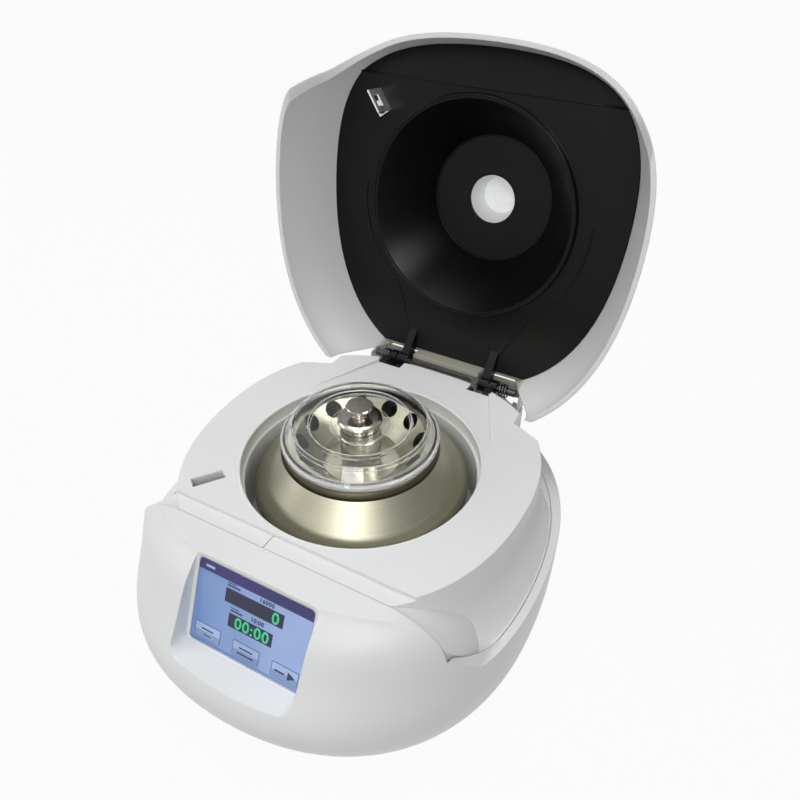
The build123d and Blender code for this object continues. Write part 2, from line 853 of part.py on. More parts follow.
def make_control_parts():
    top = board_z + board_thickness
    return Compound([
        block(76, 90, -20, -6, top, top + 3), block(70, 98, 5, 11, top, top + 10),
        block(70, 98, -38, -30, top, top + 12), rod(5, top, top + 12, 72, -22), rod(5, top, top + 12, 97, -14),
        block(92, 99, 18, 28, top, top + 6),
    ])


def make_supply_parts():
    top = board_z + board_thickness
    return Compound([
        block(-99, -71, -12, 14, top, top + 20), rod(7, top, top + 18, -76, -32), rod(7, top, top + 18, -93, -32),
        block(-98, -72, 22, 30, top, top + 9), block(-74, -68, -22, -15, top, top + 7),
    ])


# Screen
def screen_box(low, high, margin):
    width = screen_width + 2 * margin
    height = screen_height + 2 * margin
    return at_screen(Pos(0, 0, (low + high) / 2) * Box(width, height, high - low))


# Rear panel fittings
def make_inlet_body():
    half_w = inlet_width / 2 - body_gap
    half_h = inlet_height / 2 - body_gap
    flange = block(inlet_x - 15.5, inlet_x + 15.5, pad_y, pad_y + 2.5, fitting_z - 12, fitting_z + 12)
    body = block(inlet_x - half_w, inlet_x + half_w, pad_y - 16, pad_y + 1, fitting_z - half_h, fitting_z + half_h)
    socket = block(inlet_x - 11.9, inlet_x + 11.9, pad_y - 13.5, pad_y + 5, fitting_z - 8.1, fitting_z + 8.1)
    return flange + body - socket


def make_inlet_pins():
    pins = []
    for offset, height in ((-7, -2.0), (0, 2.0), (7, -2.0)):
        x = inlet_x + offset
        pins.append(block(x - 1, x + 1, pad_y - 13.5, pad_y + 1, fitting_z + height - 2, fitting_z + height + 2))
    return Compound(pins)


def make_switch_frame():
    half_w = switch_width / 2 - body_gap
    half_h = switch_height / 2 - body_gap
    flange = block(switch_x - 7.8, switch_x + 7.8, pad_y, pad_y + 1.8, fitting_z - 11.6, fitting_z + 11.6)
    body = block(switch_x - half_w, switch_x + half_w, pad_y - 14, pad_y + 1, fitting_z - half_h, fitting_z + half_h)
    cavity = block(switch_x - rocker_half - 0.3, switch_x + rocker_half + 0.3, pad_y - 9, pad_y + 5,
                   fitting_z - 8.8, fitting_z + 8.8)
    axle = cross_rod(rocker_axle_r + pin_fit, switch_x - half_w - 1, switch_x + half_w + 1, rocker_y, fitting_z)
    return flange + body - cavity - axle


def make_rocker():
    points = [(-2.5, -5), (-2.5, 5), (2.0, 7.9), (5.6, 7.6), (4.6, 0), (5.6, -7.6), (2.0, -7.9)]
    points = [(rocker_y + y, fitting_z + z) for y, z in points]
    rocker = side_plate(points, switch_x - rocker_half, switch_x + rocker_half)
    half_w = switch_width / 2 - body_gap
    rocker = rocker + cross_rod(rocker_axle_r, switch_x - half_w, switch_x + half_w, rocker_y, fitting_z)
    return rocker.rotate(Axis((switch_x, rocker_y, fitting_z), (1, 0, 0)), rocker_tilt)


spring_right = make_hinge_spring()
arm_right = opened(make_arm())
bracket_right = make_bracket()
pin_right = cross_rod(pin_r, pin_inner_x, pin_outer_x)
plunge = damper_places()

nodes = {
    "lower_housing": make_lower_housing(),
    "upper_cover": make_upper_cover(),
    "base_plate": make_base_plate(),
    "feet": Compound([rod(foot_r, 0, foot_height, x, y) for x, y in foot_places]),
    "chamber_bowl": make_chamber_bowl(),
    "chamber_seal": tube(chamber_hole_r + 4, neck_r, deck_z + chamber_floor, deck_z + chamber_floor + 2),
    "motor_body": make_motor(),
    "motor_plate": make_motor_plate(),
    "motor_posts": Compound([rod(4.5, base_top, motor_top - damper_height, x, y) for x, y in plunge]),
    "motor_dampers": Compound([rod(damper_r, motor_top - damper_height, motor_top, x, y) for x, y in plunge]),
    "motor_shaft": rod(shaft_r, motor_bottom + 4, deck_z + rotor_floor - 0.2),
    "drive_cone": make_drive_cone(),
    "rotor_body": make_rotor_body(),
    "rotor_hub": make_rotor_hub(),
    "rotor_lid": make_rotor_lid(),
    "rotor_lid_seal": make_rotor_lid_seal(),
    "rotor_lid_knob": make_knob(),
    "touch_screen": screen_box(-glass_thickness, 0, glass_border),
    "display_module": screen_box(-7, -glass_thickness, glass_border),
    "display_board": screen_box(-8.6, -7, glass_border - 1),
    "control_board": make_board(1),
    "control_parts": make_control_parts(),
    "supply_board": make_board(-1),
    "supply_parts": make_supply_parts(),
    "board_posts": make_board_posts(),
    "inlet_body": make_inlet_body(),
    "inlet_pins": make_inlet_pins(),
    "switch_frame": make_switch_frame(),
    "power_rocker": make_rocker(),
    "lid_shell": opened(make_lid_shell()),
    "lid_liner": opened(make_lid_liner()),
    "port_tube": opened(make_port_tube()),
    "port_cap": opened(make_port_cap()),
    "striker": opened(make_striker()),
    "striker_screws": opened(make_striker_screws()),
    "hinge_arm_right": arm_right,
    "hinge_arm_left": other_side(arm_right),
    "hinge_bracket_right": bracket_right,
    "hinge_bracket_left": other_side(bracket_right),
    "hinge_pins": both(pin_right),
    "hinge_spring_right": spring_right,
    "hinge_spring_left": other_side(spring_right),
    "lock_frame": make_lock_frame(),
    "lock_hook": make_lock_hook(),
    "hook_pin": make_hook_pin(),
    "solenoid": make_solenoid(),
    "plunger": make_plunger(),
}

boxes = [shape.bounding_box() for shape in nodes.values()]
front = min(box.min.Y for box in boxes)
rear = max(box.max.Y for box in boxes)
to_middle = -(front + rear) / 2
print("moved along Y by", round(to_middle, 3))

os.makedirs("parts", exist_ok=True)
for name, shape in nodes.items():
    export_step(Pos(0, to_middle, 0) * shape, "parts/" + name + ".step")
print("spring gap", round(spring_pitch - spring_wire, 2))
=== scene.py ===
import math

import bmesh
import bpy
from mathutils import Matrix, Vector


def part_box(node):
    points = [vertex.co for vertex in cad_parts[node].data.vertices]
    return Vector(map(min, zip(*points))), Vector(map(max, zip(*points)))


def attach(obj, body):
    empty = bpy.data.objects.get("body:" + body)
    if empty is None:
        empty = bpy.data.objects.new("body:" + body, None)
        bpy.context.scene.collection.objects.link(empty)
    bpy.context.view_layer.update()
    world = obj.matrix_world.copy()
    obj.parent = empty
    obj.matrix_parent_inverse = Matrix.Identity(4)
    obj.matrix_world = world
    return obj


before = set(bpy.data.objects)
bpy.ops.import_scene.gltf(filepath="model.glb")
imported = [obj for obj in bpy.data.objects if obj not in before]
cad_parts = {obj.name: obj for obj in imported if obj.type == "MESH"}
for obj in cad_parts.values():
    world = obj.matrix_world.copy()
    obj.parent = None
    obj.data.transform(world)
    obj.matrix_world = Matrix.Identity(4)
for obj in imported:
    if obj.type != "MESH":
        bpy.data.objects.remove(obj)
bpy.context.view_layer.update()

bl_info = {
    "name": "Mini centrifuge dressing",
    "version": (1, 0, 0),
    "blender": (4, 5, 0),
    "location": "3D View > Sidebar > Centrifuge",
    "description": "Finishes and small parts of a mini centrifuge with an open lid",
    "category": "Object",
}

MM = 0.001
# The rotor axis, the deck and the hinge in the frame of the CAD, in metres
AXIS_Y = (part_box("rotor_body")[0].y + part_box("rotor_body")[1].y) / 2
DECK_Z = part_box("upper_cover")[1].z
HINGE = Vector((0, AXIS_Y + 0.1182, DECK_Z - 0.0086))
OPEN_ANGLE = math.radians(98.6)
# Fine grain of moulded plastic, and the slower mottling and gloss under it
GRAIN, GRAIN_DEPTH = 900.0, 0.00003
MOTTLING, GLOSS_PATCHES = 14.0, 60.0
METAL_GRAIN, METAL_GRAIN_DEPTH = 1400.0, 0.00001
TURNED_DEPTH = 0.00002


class CentrifugeSizes(bpy.types.PropertyGroup):
    """Sizes of the small parts."""

    bead: bpy.props.FloatProperty(
        name="Lip bead", description="Radius of the rounded lip round the bowl",
        default=0.0011, min=0.0003, unit="LENGTH", subtype="DISTANCE")
    plate: bpy.props.FloatProperty(
        name="Picture plate", description="Thickness of one layer of the screen picture",
        default=0.00012, min=0.00005, unit="LENGTH", subtype="DISTANCE")
    digit_large: bpy.props.FloatProperty(
        name="Large digits", description="Height of the large digits on the screen",
        default=0.0068, min=0.001, unit="LENGTH", subtype="DISTANCE")
    digit_small: bpy.props.FloatProperty(
        name="Small digits", description="Height of the small digits on the screen",
        default=0.0026, min=0.0005, unit="LENGTH", subtype="DISTANCE")
    place_number: bpy.props.FloatProperty(
        name="Place numbers", description="Height of the numbers between the tube wells",
        default=0.0031, min=0.001, unit="LENGTH", subtype="DISTANCE")
    crease: bpy.props.FloatProperty(
        name="Liner crease", description="Radius of the raised creases of the liner",
        default=0.0007, min=0.0002, unit="LENGTH", subtype="DISTANCE")
    screw_radius: bpy.props.FloatProperty(
        name="Screw head", description="Radius of the screw heads under the base",
        default=0.0034, min=0.0005, unit="LENGTH", subtype="DISTANCE")


class CentrifugeColours(bpy.types.PropertyGroup):
    """Colours of the finishes."""

    shell: bpy.props.FloatVectorProperty(
        name="Shell", description="White moulded plastic of the housing and the lid",
        subtype="COLOR", size=3, min=0, max=1, default=(0.74, 0.75, 0.745))
    liner: bpy.props.FloatVectorProperty(
        name="Liner", description="Black plastic inside the lid",
        subtype="COLOR", size=3, min=0, max=1, default=(0.003, 0.0031, 0.0034))
    # Painted sheen: grey that stands in for the light the liner's fold reflects by the hinge
    liner_fold: bpy.props.FloatVectorProperty(
        name="Liner fold", description="Greyer black of the liner by the hinge",
        subtype="COLOR", size=3, min=0, max=1, default=(0.016, 0.016, 0.0165))
    # Painted shade: beige that stands in for the shade inside the hinge well
    well: bpy.props.FloatVectorProperty(
        name="Hinge well", description="Shaded beige inside the hinge well",
        subtype="COLOR", size=3, min=0, max=1, default=(0.4, 0.39, 0.32))
    rotor: bpy.props.FloatVectorProperty(
        name="Rotor", description="Anodised aluminium of the rotor",
        subtype="COLOR", size=3, min=0, max=1, default=(0.43, 0.415, 0.32))
    screen: bpy.props.FloatVectorProperty(
        name="Screen", description="Lit ground of the screen at its left side",
        subtype="COLOR", size=3, min=0, max=1, default=(0.15, 0.27, 0.56))
    screen_right: bpy.props.FloatVectorProperty(
        name="Screen, right side", description="Lit ground of the screen at its right side",
        subtype="COLOR", size=3, min=0, max=1, default=(0.36, 0.47, 0.79))
    digits: bpy.props.FloatVectorProperty(
        name="Digits", description="Lit digits on the screen",
        subtype="COLOR", size=3, min=0, max=1, default=(0.02, 0.5, 0.21))


def sizes():
    return bpy.context.scene.centrifuge_sizes


def colours():
    return bpy.context.scene.centrifuge_colours


# Materials
class Shader:
    """A node material built up one node at a time."""

    def __init__(self, name):
        self.material = bpy.data.materials.new(name)
        self.material.use_nodes = True
        self.tree = self.material.node_tree
        self.surface = self.tree.nodes["Principled BSDF"]
        self.coords = self.add("ShaderNodeTexCoord").outputs["Object"]

    def add(self, kind, **settings):
        node = self.tree.nodes.new(kind)
        for key, value in settings.items():
            if key in node.inputs:
                node.inputs[key].default_value = value
            else:
                setattr(node, key, value)
        return node

    def link(self, source, target):
        self.tree.links.new(source, target)

    def set(self, **values):
        for key, value in values.items():
            self.surface.inputs[key.replace("_", " ")].default_value = value

    def noise(self, scale, detail=3.0, coords=None):
        node = self.add("ShaderNodeTexNoise")
        node.inputs["Scale"].default_value = scale
        node.inputs["Detail"].default_value = detail
        self.link(coords or self.coords, node.inputs["Vector"])
        return node.outputs["Fac"]

    def ramp(self, source, low, high, start=0.35, end=0.65):
        node = self.add("ShaderNodeValToRGB")
        first, last = node.color_ramp.elements
        first.position, last.position = start, end
        first.color, last.color = (*low, 1), (*high, 1)
        self.link(source, node.inputs["Fac"])
        return node.outputs["Color"]

    def spread(self, source, low, high):
        node = self.add("ShaderNodeMapRange")
        node.inputs["To Min"].default_value = low
        node.inputs["To Max"].default_value = high
        self.link(source, node.inputs["Value"])
        return node.outputs["Result"]

    def bump(self, source, strength, distance, edge=0.0):
        """Fine relief, over edges that are rounded by a small radius."""
        node = self.add("ShaderNodeBump")
        node.inputs["Strength"].default_value = strength
        node.inputs["Distance"].default_value = distance
        self.link(source, node.inputs["Height"])
        if edge > 0:
            soft = self.add("ShaderNodeBevel", samples=6)
            soft.inputs["Radius"].default_value = edge
            self.link(soft.outputs["Normal"], node.inputs["Normal"])
        self.link(node.outputs["Normal"], self.surface.inputs["Normal"])

    def between(self, axis, start, end):
        """Runs from 0 to 1 along one axis of the object."""
        split = self.add("ShaderNodeSeparateXYZ")
        self.link(self.coords, split.inputs["Vector"])
        node = self.add("ShaderNodeMapRange", interpolation_type="SMOOTHSTEP")
        node.inputs["From Min"].default_value = start
        node.inputs["From Max"].default_value = end
        self.link(split.outputs[axis], node.inputs["Value"])
        return node.outputs["Result"]

    def facing(self, direction, start, end):
        """Runs from 0 to 1 as faces of the object turn towards a direction."""
        turn = self.add("ShaderNodeVectorMath", operation="DOT_PRODUCT")
        turn.inputs[1].default_value = Vector(direction).normalized()
        self.link(self.add("ShaderNodeTexCoord").outputs["Normal"], turn.inputs[0])
        node = self.add("ShaderNodeMapRange", interpolation_type="SMOOTHSTEP")
        node.inputs["From Min"].default_value = start
        node.inputs["From Max"].default_value = end
        self.link(turn.outputs["Value"], node.inputs["Value"])
        return node.outputs["Result"]

    def both(self, first, second):
        node = self.add("ShaderNodeMath", operation="MULTIPLY")
        self.link(first, node.inputs[0])
        self.link(second, node.inputs[1])
        return node.outputs["Value"]

    def blend_colours(self, share, first, second):
        node = self.add("ShaderNodeMix", data_type="RGBA")
        self.link(share, node.inputs["Factor"])
        self.link(first, node.inputs[6])
        node.inputs[7].default_value = (*second, 1)
        return node.outputs[2]

    def turned_coords(self, centre_y, scale_r=1.0, scale_z=1.0):
        """Radius from an upright axis and height, for lathe marks."""
        shift = self.add("ShaderNodeVectorMath", operation="SUBTRACT")
        shift.inputs[1].default_value = (0, centre_y, 0)
        self.link(self.coords, shift.inputs[0])
        split = self.add("ShaderNodeSeparateXYZ")
        self.link(shift.outputs["Vector"], split.inputs["Vector"])
        flat = self.add("ShaderNodeCombineXYZ")
        self.link(split.outputs["X"], flat.inputs["X"])
        self.link(split.outputs["Y"], flat.inputs["Y"])
        length = self.add("ShaderNodeVectorMath", operation="LENGTH")
        self.link(flat.outputs["Vector"], length.inputs[0])
        out = self.add("ShaderNodeCombineXYZ")
        parts = ((length.outputs["Value"], scale_r, "X"), (split.outputs["Z"], scale_z, "Z"))
        for value, scale, target in parts:
            times = self.add("ShaderNodeMath", operation="MULTIPLY")
            times.inputs[1].default_value = scale
            self.link(value, times.inputs[0])
            self.link(times.outputs["Value"], out.inputs[target])
        return out.outputs["Vector"]


def tint(colour, factor):
    return tuple(min(1.0, max(0.0, channel * factor)) for channel in colour)


def moulded(name, colour, roughness, variation=0.03, edge=0.0006):
    """Moulded plastic: soft mottling, fine grain, slightly uneven gloss."""
    s = Shader(name)
    shade = s.ramp(s.noise(MOTTLING, 2.0), tint(colour, 1 - variation), tint(colour, 1 + variation))
    gloss = s.spread(s.noise(GLOSS_PATCHES, 4.0), roughness - 0.05, roughness + 0.07)
    s.link(shade, s.surface.inputs["Base Color"])
    s.link(gloss, s.surface.inputs["Roughness"])
    s.bump(s.noise(GRAIN, 2.0), 0.25, GRAIN_DEPTH, edge)
    return s.material


def shaded_shell(name, colour, shade):
    """White moulding whose upper and forward faces in the hinge well get a painted shade of beige."""
    s = Shader(name)
    white = s.ramp(s.noise(MOTTLING, 2.0), tint(colour, 0.988), tint(colour, 1.012))
    # Mask of the painted shade: behind the well's front edge, from just under the deck to about 25 mm
    # under it, within 55 mm of the middle, on faces turned up and forward
    behind = s.between("Y", AXIS_Y + 0.1165, AXIS_Y + 0.1185)
    low = s.between("Z", DECK_Z + 0.004, DECK_Z - 0.002)
    right = s.between("X", 0.060, 0.055)
    left = s.between("X", -0.060, -0.055)
    above = s.between("Z", DECK_Z - 0.027, DECK_Z - 0.024)
    inner = s.both(above, s.facing((0, -1, 1), 0.1, 0.4))
    inside = s.both(s.both(s.both(behind, low), s.both(right, left)), inner)
    s.link(s.blend_colours(inside, white, shade), s.surface.inputs["Base Color"])
    s.link(s.spread(s.noise(GLOSS_PATCHES, 4.0), 0.27, 0.38), s.surface.inputs["Roughness"])
    s.bump(s.noise(GRAIN, 2.0), 0.2, 0.00002, 0.0009)
    return s.material


def folded_liner(name, colour, fold):
    """Black moulding that is greyer on the fold by the hinge, as a painted sheen."""
    s = Shader(name)
    black = s.ramp(s.noise(MOTTLING, 2.0), tint(colour, 0.8), tint(colour, 1.2))
    # Painted sheen: greyer towards the bottom of the open liner, by the hinge
    low = s.between("Z", DECK_Z + 0.040, DECK_Z - 0.004)
    s.link(s.blend_colours(low, black, fold), s.surface.inputs["Base Color"])
    s.link(s.spread(s.noise(GLOSS_PATCHES, 4.0), 0.3, 0.4), s.surface.inputs["Roughness"])
    s.set(Specular_IOR_Level=0.16)
    s.bump(s.noise(1600.0, 2.0), 0.25, GRAIN_DEPTH, 0.0009)
    return s.material


def turned_metal(name, colour, roughness, streak, rings=2200.0):
    """Lathe-turned metal with fine rings round the rotor axis."""
    s = Shader(name)
    path = s.turned_coords(AXIS_Y, rings, rings)
    marks = s.noise(1.0, 2.0, path)
    s.link(s.ramp(marks, tint(colour, 0.9), tint(colour, 1.1)), s.surface.inputs["Base Color"])
    s.link(s.spread(marks, roughness - 0.05, roughness + 0.06), s.surface.inputs["Roughness"])
    s.set(Metallic=1.0, Anisotropic=streak)
    round_axis = s.add("ShaderNodeTangent", direction_type="RADIAL", axis="Z")
    s.link(round_axis.outputs["Tangent"], s.surface.inputs["Tangent"])
    s.bump(marks, 0.3, TURNED_DEPTH)
    return s.material


def plain_metal(name, colour, roughness):
    """Sheet or bar metal with a fine even grain."""
    s = Shader(name)
    fine = s.noise(METAL_GRAIN, 3.0)
    gloss = s.spread(s.noise(120.0, 3.0), roughness - 0.05, roughness + 0.08)
    s.link(s.ramp(fine, tint(colour, 0.93), tint(colour, 1.07)), s.surface.inputs["Base Color"])
    s.link(gloss, s.surface.inputs["Roughness"])
    s.set(Metallic=1.0)
    s.bump(fine, 0.2, METAL_GRAIN_DEPTH)
    return s.material


def rubbery(name, colour):
    s = Shader(name)
    fine = s.noise(700.0, 4.0)
    s.link(s.ramp(fine, tint(colour, 0.8), tint(colour, 1.25)), s.surface.inputs["Base Color"])
    s.link(s.spread(fine, 0.65, 0.85), s.surface.inputs["Roughness"])
    s.bump(fine, 0.4, 0.00004)
    return s.material


def lit(name, colour, strength):
    """Lit layer of the screen, with a faint unevenness."""
    s = Shader(name)
    slow = s.noise(45.0, 1.0)
    shade = s.ramp(slow, tint(colour, 0.94), tint(colour, 1.06))
    s.link(shade, s.surface.inputs["Emission Color"])
    s.link(s.ramp(slow, tint(colour, 0.2), tint(colour, 0.25)), s.surface.inputs["Base Color"])
    s.set(Emission_Strength=strength, Roughness=0.16)
    return s.material


def screen_ground(name, left, right):
    """Lit ground of the screen, deeper blue towards its left side."""
    s = Shader(name)
    across = s.between("X", -0.040, 0.036)
    shade = s.ramp(across, left, right, 0.0, 1.0)
    s.link(shade, s.surface.inputs["Emission Color"])
    ground = s.ramp(s.noise(45.0, 1.0), tint(left, 0.2), tint(right, 0.2))
    s.link(ground, s.surface.inputs["Base Color"])
    s.set(Emission_Strength=0.7, Roughness=0.12)
    return s.material


def clear_plastic(name):
    """Clear polycarbonate with faint moulding rings."""
    s = Shader(name)
    path = s.turned_coords(AXIS_Y, 260.0, 260.0)
    slow = s.noise(1.0, 1.0, path)
    s.link(s.ramp(slow, (0.965, 0.975, 0.97), (0.99, 0.995, 0.99)), s.surface.inputs["Base Color"])
    s.set(Transmission_Weight=1.0, Roughness=0.01, IOR=1.13)
    s.set(Coat_Weight=1.0, Coat_IOR=1.6, Coat_Roughness=0.04)
    s.bump(slow, 0.04, 0.0001)
    return s.material


def glowing(name, colour, strength):
    """White plastic with a painted glow: faint emission that stands in for light falling on the part."""
    s = Shader(name)
    shade = s.ramp(s.noise(40.0, 2.0), tint(colour, 0.98), tint(colour, 1.02))
    s.link(shade, s.surface.inputs["Base Color"])
    s.link(shade, s.surface.inputs["Emission Color"])
    s.set(Emission_Strength=strength, Roughness=0.42)
    s.bump(s.noise(900.0, 2.0), 0.25, 0.00003, 0.0004)
    return s.material


def frosted(name, colour):
    """Cloudy moulded edge of the clear cover."""
    s = Shader(name)
    path = s.turned_coords(AXIS_Y, 1500.0, 900.0)
    rings = s.noise(1.0, 2.0, path)
    s.link(s.ramp(rings, tint(colour, 0.9), tint(colour, 1.08)), s.surface.inputs["Base Color"])
    s.link(s.spread(rings, 0.12, 0.3), s.surface.inputs["Roughness"])
    s.set(Transmission_Weight=0.72, IOR=1.25, Coat_Weight=0.6, Coat_Roughness=0.08)
    s.bump(rings, 0.3, 0.00005)
    return s.material


def circuit(name):
    """Printed board: green lacquer with a lighter pattern of tracks."""
    s = Shader(name)
    bricks = s.add("ShaderNodeTexBrick")
    bricks.inputs["Scale"].default_value = 160.0
    bricks.inputs["Mortar Size"].default_value = 0.03
    bricks.inputs["Color1"].default_value = (0.012, 0.13, 0.05, 1)
    bricks.inputs["Color2"].default_value = (0.016, 0.17, 0.07, 1)
    bricks.inputs["Mortar"].default_value = (0.05, 0.3, 0.12, 1)
    s.link(s.coords, bricks.inputs["Vector"])
    s.link(bricks.outputs["Color"], s.surface.inputs["Base Color"])
    s.set(Roughness=0.35)
    return s.material


MATERIALS = {}


def make_materials():
    c = colours()
    shell = tuple(c.shell)
    black = (0.008, 0.008, 0.009)
    MATERIALS.update({
        "shell": shaded_shell("satin_white_shell_painted_shade", shell, tuple(c.well)),
        "liner": folded_liner("black_liner", tuple(c.liner), tuple(c.liner_fold)),
        "trim": moulded("white_trim", tint(shell, 1.02), 0.42, variation=0.015, edge=0.0003),
        # Painted light: the port tube and cap are lighter than the shell and glow faintly, standing in
        # for light deep in the liner's cone
        "port": glowing("port_plastic_painted_glow", tint(shell, 1.05), 0.06),
        "cap": glowing("port_cap_painted_glow", tint(shell, 1.14), 0.2),
        "black_plastic": moulded("black_moulding", black, 0.42, variation=0.2, edge=0.0003),
        "rocker": moulded("glossy_rocker", black, 0.18, variation=0.1, edge=0.0003),
        "module": moulded("display_housing", (0.03, 0.03, 0.035), 0.5, variation=0.1, edge=0.0003),
        "rotor": turned_metal("anodised_rotor", tuple(c.rotor), 0.3, 0.8),
        "rotor_band": turned_metal("dark_band", (0.085, 0.078, 0.05), 0.4, 0.4),
        "steel": turned_metal("turned_steel", (0.58, 0.57, 0.53), 0.2, 0.5),
        "nickel": turned_metal("nickel_knob", (0.56, 0.54, 0.48), 0.16, 0.4, rings=1500.0),
        "bowl": moulded("bowl_paint", (0.7, 0.71, 0.705), 0.35, variation=0.04, edge=0.0005),
        "plate": plain_metal("bright_plate", (0.72, 0.72, 0.71), 0.36),
        "pin": plain_metal("dark_pin", (0.1, 0.1, 0.105), 0.36),
        "black_steel": plain_metal("blackened_steel", (0.022, 0.022, 0.024), 0.4),
        "spring": plain_metal("spring_wire", (0.12, 0.12, 0.12), 0.32),
        "base": moulded("base_paint", (0.03, 0.03, 0.033), 0.5, variation=0.15),
        "motor": moulded("motor_paint", (0.09, 0.095, 0.1), 0.4, variation=0.1),
        "brass": plain_metal("brass_posts", (0.62, 0.46, 0.2), 0.3),
        "rubber": rubbery("dark_rubber", (0.016, 0.016, 0.016)),
        "board": circuit("board_lacquer"),
        "clear": clear_plastic("clear_polycarbonate"),
        "frosted": frosted("cloudy_polycarbonate", (0.93, 0.94, 0.93)),
        "marks": moulded("number_paint", (0.7, 0.7, 0.66), 0.5, variation=0.05, edge=0.0),
        "glass": screen_ground("screen_ground", tuple(c.screen), tuple(c.screen_right)),
    })


FINISH_NODES = {
    "shell": ("lower_housing", "upper_cover", "lid_shell"),
    "liner": ("lid_liner",),
    "base": ("base_plate",),
    "rubber": ("feet", "chamber_seal", "motor_dampers", "rotor_lid_seal"),
    "bowl": ("chamber_bowl",),
    "motor": ("motor_body", "solenoid"),
    "plate": ("motor_plate", "motor_posts", "striker", "lock_frame", "lock_hook", "hook_pin", "plunger"),
    "steel": ("motor_shaft", "drive_cone", "rotor_hub"),
    "rotor": ("rotor_body",),
    "clear": ("rotor_lid",),
    "nickel": ("rotor_lid_knob",),
    "glass": ("touch_screen",),
    "module": ("display_module", "control_parts", "supply_parts"),
    "board": ("display_board", "control_board", "supply_board"),
    "brass": ("board_posts", "inlet_pins"),
    "black_plastic": ("inlet_body", "switch_frame"),
    "rocker": ("power_rocker",),
    "port": ("port_tube",),
    "cap": ("port_cap",),
    "black_steel": ("striker_screws", "hinge_arm_right", "hinge_arm_left",
                    "hinge_bracket_right", "hinge_bracket_left"),
    "pin": ("hinge_pins",),
    "spring": ("hinge_spring_right", "hinge_spring_left"),
}


# Mesh helpers
def add_object(name, mesh, material, body):
    obj = bpy.data.objects.new(name, mesh)
    bpy.context.scene.collection.objects.link(obj)
    mesh.materials.clear()
    mesh.materials.append(MATERIALS[material])
    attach(obj, body)
    return obj


def mesh_from(name, build, smooth=True):
    mesh = bpy.data.meshes.new(name)
    bm = bmesh.new()
    build(bm)
    bmesh.ops.recalc_face_normals(bm, faces=bm.faces)
    for face in bm.faces:
        face.smooth = smooth
    bm.to_mesh(mesh)
    bm.free()
    return mesh


def lathe(bm, profile, steps=96, matrix=None):
    """Closed (radius, height) outline spun round Z."""
    rings = []
    for r, z in profile:
        ring = []
        for i in range(steps):
            a = 2 * math.pi * i / steps
            ring.append(bm.verts.new((r * math.cos(a), r * math.sin(a), z)))
        rings.append(ring)
    for k in range(len(rings)):
        low, high = rings[k], rings[(k + 1) % len(rings)]
        for i in range(steps):
            j = (i + 1) % steps
            bm.faces.new((low[i], low[j], high[j], high[i]))
    if matrix:
        bmesh.ops.transform(bm, matrix=matrix, verts=[v for ring in rings for v in ring])


def bead_profile(centre_r, centre_z, radius, count=10):
    return [(centre_r + radius * math.cos(2 * math.pi * i / count),
             centre_z + radius * math.sin(2 * math.pi * i / count)) for i in range(count)]


def slab(bm, corners, low, high, bevel=0.0):
    """Plate over a polygon of X and Y, between two heights."""
    bottom = [bm.verts.new((x, y, low)) for x, y in corners]
    top = [bm.verts.new((x, y, high)) for x, y in corners]
    bm.faces.new(list(reversed(bottom)))
    rim = bm.faces.new(top)
    for i in range(len(corners)):
        j = (i + 1) % len(corners)
        bm.faces.new((bottom[i], bottom[j], top[j], top[i]))
    if bevel > 0:
        bmesh.ops.bevel(bm, geom=list(rim.edges), offset=bevel, segments=2, affect="EDGES")


def rounded(x0, x1, y0, y1, r, steps=5):
    """Outline of a rectangle with rounded corners."""
    points = []
    centres = ((x1 - r, y1 - r, 0), (x0 + r, y1 - r, 90), (x0 + r, y0 + r, 180), (x1 - r, y0 + r, 270))
    for cx, cy, start in centres:
        for i in range(steps + 1):
            a = math.radians(start + 90 * i / steps)
            points.append((cx + r * math.cos(a), cy + r * math.sin(a)))
    return points


def tube_along(bm, points, radius, steps=8):
    """Round bar through points, with closed ends."""
    rings = []
    for i, point in enumerate(points):
        before = points[max(0, i - 1)]
        after = points[min(len(points) - 1, i + 1)]
        along = (after - before).normalized()
        side = along.cross(Vector((0, 0, 1)))
        if side.length < 0.01:
            side = along.cross(Vector((0, 1, 0)))
        side.normalize()
        up = side.cross(along)
        ring = []
        for k in range(steps):
            a = 2 * math.pi * k / steps
            ring.append(bm.verts.new(point + radius * (math.cos(a) * side + math.sin(a) * up)))
        rings.append(ring)
    for low, high in zip(rings, rings[1:]):
        for k in range(steps):
            j = (k + 1) % steps
            bm.faces.new((low[k], low[j], high[j], high[k]))
    bm.faces.new(rings[0])
    bm.faces.new(list(reversed(rings[-1])))


def box_block(bm, low, high, bevel=0.0):
    """Block between two corners with softened edges."""
    lo, hi = Vector(low) * MM, Vector(high) * MM
    corners = [(hi.x, hi.y), (lo.x, hi.y), (lo.x, lo.y), (hi.x, lo.y)]
    before = set(bm.edges)
    slab(bm, corners, lo.z, hi.z)
    if bevel > 0:
        fresh = [edge for edge in bm.edges if edge not in before]
        bmesh.ops.bevel(bm, geom=fresh, offset=bevel * MM, segments=2, affect="EDGES")


